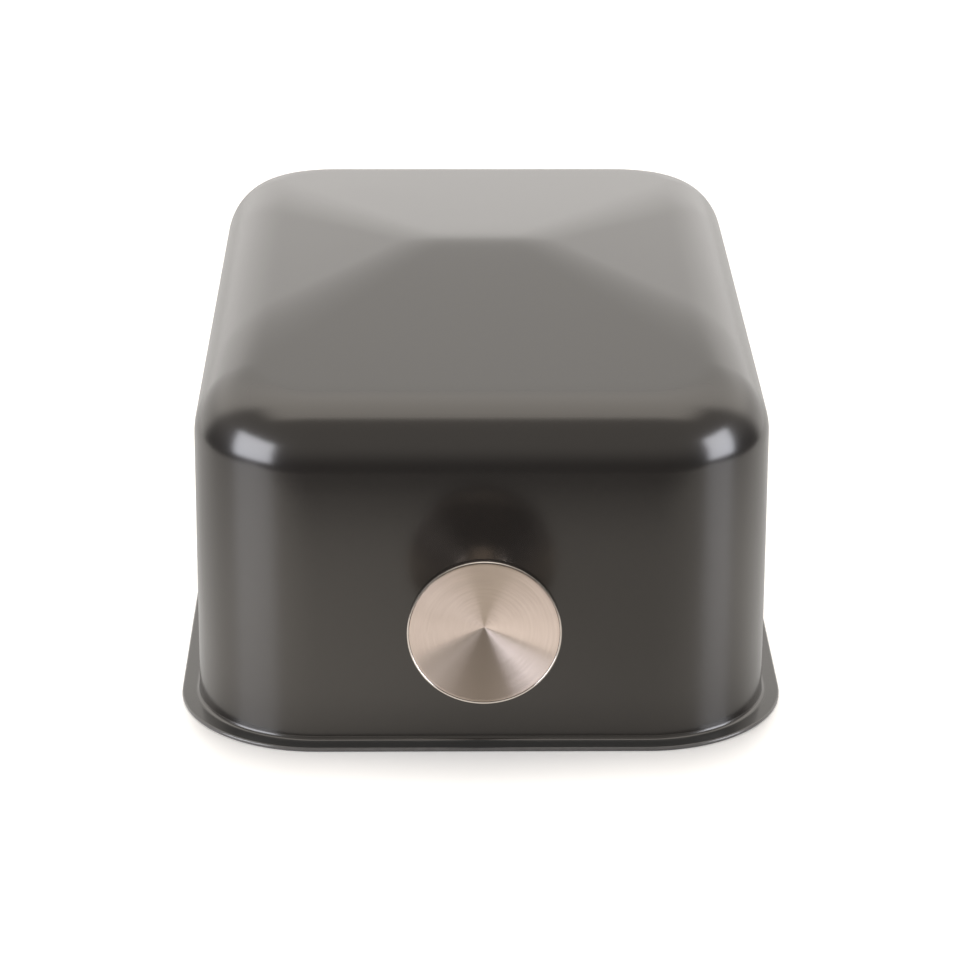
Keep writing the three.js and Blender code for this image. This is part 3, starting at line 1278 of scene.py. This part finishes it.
@dataclass
class Table:
    """White table that keeps the object's shadow, with lengths in metres.

    Attributes:
        front: Front edge along Y.
        side: How far it goes to either side.
        back: How far it goes to the back.
        shade: Shade of its top, as it throws light back on the object.
        warmth: Colour of that light, beside white.
        shade_seen: Colour of its top, as the camera sees it.
        gloss: Roughness of the satin top.
        specular: Strength of the top's gloss.
        glow: What is added for the camera, so that the top is white away from the shadow.
        mirrored_glow: Light that the lit top shows in the object's gloss.
        pools: X and Y of each pool of light on the top, what it adds to that light, and its radius.
        contact: Width of the painted contact shadow at the object's foot, an ambient-occlusion
            darkening of the glow that the object's gloss shows.
        contact_low: Light that is left where that painted shadow is deepest.
    """

    front: float = -0.335
    side: float = 0.42
    back: float = 4.0
    shade: float = 0.2
    warmth: Colour = (1.025, 1.0, 0.96)
    shade_seen: Colour = (0.86, 0.82, 0.76)
    gloss: float = 0.4
    specular: float = 1.0
    glow: float = 0.15
    mirrored_glow: float = 0.42
    pools: tuple[tuple[float, float, float, float], ...] = (
        (-0.17, -0.185, 0.57, 0.24),
        (0.21, -0.115, 0.42, 0.17),
    )
    contact: float = 0.04
    contact_low: float = 0.05

    def _pooled_glow(self, graph: Graph) -> Socket:
        """Light of the table in the object's gloss, brighter below the side softboxes.

        Args:
            graph: Nodes of the table.

        Returns:
            The light's socket.
        """
        place = graph.add("ShaderNodeTexCoord").outputs["Object"]
        total: Socket | float = self.mirrored_glow
        for x, y, level, reach in self.pools:
            away = graph.tree.nodes.new("ShaderNodeVectorMath")
            away.operation = "DISTANCE"
            away.inputs[1].default_value = (x, y, 0.0)
            graph.join(place, away.inputs[0])
            near = graph.rise(away.outputs["Value"], (reach, 0.0), soft=True)
            total = graph.sum_of("MULTIPLY_ADD", near, level, total)
        return total

    def _paint(self) -> bpy.types.Material:
        """Makes the table's white top.

        Returns:
            The material.
        """
        paint = bpy.data.materials.new("white_table")
        paint.use_nodes = True
        graph = Graph(paint.node_tree)
        shader = paint.node_tree.nodes["Principled BSDF"]
        thrown = tuple(self.shade * share for share in self.warmth)
        rays = graph.add("ShaderNodeLightPath").outputs
        shown = graph.between(rays["Is Camera Ray"], thrown, self.shade_seen)
        graph.join(shown, shader.inputs["Base Color"])
        shader.inputs["Roughness"].default_value = self.gloss
        shader.inputs["Specular IOR Level"].default_value = self.specular
        shader.inputs["Emission Color"].default_value = (*self.warmth, 1.0)
        # Painted contact shadow: ambient occlusion darkens the glow that the object's gloss shows near
        # its foot.
        open_sky = graph.add("ShaderNodeAmbientOcclusion", Distance=self.contact).outputs["AO"]
        left = graph.spread(open_sky, self.contact_low, 1.0)
        mirrored = graph.sum_of("MULTIPLY", self._pooled_glow(graph), left)
        graph.join(graph.by_ray(self.glow, mirrored, 0.0), shader.inputs["Emission Strength"])
        return paint

    def lay(self) -> None:
        """Lays the table under the object."""
        left, right, near, far = -self.side, self.side, self.front, self.back
        corners = np.array([(left, near, 0.0), (right, near, 0.0), (right, far, 0.0), (left, far, 0.0)])
        table = mesh_object("table", corners, [(0, 1, 2, 3)])
        table.data.materials.append(self._paint())


@dataclass
class Surround:
    """White backdrop and lit ceiling, with a dim room in front.

    A band holds two values of one part of the viewing direction, each from -1 to 1.

    Attributes:
        backdrop: Brightness of the backdrop for the camera, white in spite of its warmth.
        warmth: Colour of the surround, beside white.
        rear: Brightness of the backdrop in the object's gloss.
        rear_foot: What the backdrop's foot adds to that.
        upper: What the lit ceiling and the backdrop's sides add to that.
        room_low: Brightness of the room in front, at the table's height.
        room_high: Brightness of the room in front, high up.
        fill: Share of the surround that lights the object evenly.
        room_band: Upward, from the room's low to its high brightness.
        side_band: Sideways, from the backdrop's middle to its bright sides.
        side_rise: Upward, from the foot of those sides to where they are bright.
        ceiling_band: Upward, from the backdrop to the bright ceiling.
        foot_band: Upward, from above the backdrop's foot down to it.
        rear_lean: How much the line between room and backdrop comes forward with height.
        rear_band: Backward, with that lean, from the room to the backdrop.
        top_band: Upward, from the room to the ceiling overhead.
        top_front: Backward, across the ceiling's front edge.
    """

    backdrop: float = 1.04
    warmth: Colour = (1.01, 0.987, 0.962)
    rear: float = 1.11
    rear_foot: float = 0.3
    upper: float = 1.05
    room_low: float = 0.1
    room_high: float = 0.55
    fill: float = 0.5
    room_band: Band = (-0.15, 0.5)
    side_band: Band = (0.2, 0.85)
    side_rise: Band = (0.15, 0.5)
    ceiling_band: Band = (0.49, 0.95)
    foot_band: Band = (0.54, 0.27)
    rear_lean: float = 0.42
    rear_band: Band = (0.38, 0.6)
    top_band: Band = (0.75, 0.95)
    top_front: Band = (-0.255, -0.225)

    def _lit(self, graph: Graph, across: Socket, upward: Socket) -> Socket:
        """Brightness of backdrop and ceiling.

        Args:
            graph: Nodes of the world.
            across: Sideways part of the direction.
            upward: Upward part of the direction.

        Returns:
            The brightness socket.
        """
        aside = graph.rise(graph.sum_of("ABSOLUTE", across), self.side_band, soft=True)
        sides = graph.sum_of("MULTIPLY", aside, graph.rise(upward, self.side_rise, soft=True))
        ceiling = graph.rise(upward, self.ceiling_band, soft=True)
        either = graph.sum_of("MULTIPLY_ADD", sides, graph.sum_of("SUBTRACT", 1.0, ceiling), ceiling)
        foot = graph.rise(upward, self.foot_band, soft=True)
        rear = graph.sum_of("MULTIPLY_ADD", foot, self.rear_foot, self.rear)
        return graph.sum_of("MULTIPLY_ADD", either, self.upper, rear)

    def _lit_share(self, graph: Graph, along: Socket, upward: Socket) -> Socket:
        """Finds where the backdrop and the ceiling are, and where the room is.

        Args:
            graph: Nodes of the world.
            along: Backward part of the direction.
            upward: Upward part of the direction.

        Returns:
            1 on backdrop and ceiling, 0 in the room.
        """
        leaned = graph.sum_of("MULTIPLY_ADD", upward, self.rear_lean, along)
        behind = graph.rise(leaned, self.rear_band, soft=True)
        overhead = graph.rise(upward, self.top_band, soft=True)
        above = graph.sum_of("MULTIPLY", overhead, graph.rise(along, self.top_front, soft=True))
        return graph.sum_of("MAXIMUM", behind, above)

    def paint(self) -> None:
        """Sets the surround: white behind and above the object, dim in front of it."""
        world = bpy.data.worlds.new("studio_surround")
        bpy.context.scene.world = world
        world.use_nodes = True
        graph = Graph(world.node_tree)
        sky = world.node_tree.nodes["Background"]
        sky.inputs["Color"].default_value = (*self.warmth, 1.0)
        across, along, upward = graph.parts(graph.add("ShaderNodeTexCoord").outputs["Generated"])
        height = graph.rise(upward, self.room_band, soft=True)
        room = graph.spread(height, self.room_low, self.room_high)
        gain = graph.sum_of("SUBTRACT", self._lit(graph, across, upward), room)
        bright = graph.sum_of("MULTIPLY_ADD", gain, self._lit_share(graph, along, upward), room)
        strength = graph.by_ray(self.backdrop, bright, graph.sum_of("MULTIPLY", bright, self.fill))
        graph.join(strength, sky.inputs["Strength"])


@dataclass
class Studio:
    """Everything round the object.

    Attributes:
        table: What it stands on.
        surround: What lies behind, above and in front of it.
        softboxes: The lamps.
    """

    table: Table
    surround: Surround
    softboxes: list[Softbox]

    def set_up(self) -> None:
        """Builds table, surround and lamps."""
        self.table.lay()
        self.surround.paint()
        for softbox in self.softboxes:
            softbox.hang()
        bpy.context.scene.view_settings.view_transform = "Standard"


def softboxes() -> list[Softbox]:
    """Lists the lamps: one at each side, one for the table's shadow, and four for the knob's front.

    Returns:
        The lamps.
    """
    cool = (0.94, 1.01, 1.17)
    bluish = (0.9, 0.98, 1.22)
    violet = (0.97, 1.0, 1.18)
    white = (1.0, 1.0, 1.0)
    left_corner, right_corner = (-0.08, -0.13, 0.1), (0.08, -0.13, 0.1)
    knob_front = (0.0, -0.158, 0.053)
    under_lamp = (0.0, 0.27, 0.0)
    table, cover, face = ("table",), ("cover_skin",), ("knob_dish",)
    lamps = [
        Softbox("left", (-0.96, -0.62, 0.27), left_corner, (0.77, 0.62), 7.0, cool),
        Softbox("right", (1.03, -0.47, 0.27), right_corner, (0.53, 0.64), 7.0, cool),
        Softbox("over_table", (0.0, 0.27, 2.0), under_lamp, (0.2, 0.65), 79.0, white, table, cover),
        Softbox("front_left", (-0.33, -1.4, -0.11), knob_front, (0.32, 0.32), 2.3, bluish, face),
        Softbox("front_right", (0.39, -1.4, -0.059), knob_front, (0.32, 0.21), 0.72, cool, face),
    ]
    for side, x in (("left", -0.0675), ("right", 0.0675)):
        card, above = (x, -0.25, 0.004), (x, -0.25, 1.0)
        lamps.append(Softbox("card_" + side, card, above, (0.125, 0.12), 0.56, violet, face))
    return lamps


def main() -> None:
    """Builds the cloche, its finishes, the studio and the camera."""
    logging.basicConfig(level=logging.INFO, format="%(name)s: %(message)s")
    low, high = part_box("shell")
    cover = Cover(centre=(low.y + high.y) / 2 / MM)
    cover.dress(CoatFinish())
    Knob.on_wall(cover).dress(BRUSHED_FRONT, POLISHED_HEAD, PLAIN_HARDWARE)
    Camera().stand(cover.centre)
    Studio(Table(), Surround(), softboxes()).set_up()


if __name__ == "__main__":
    main()
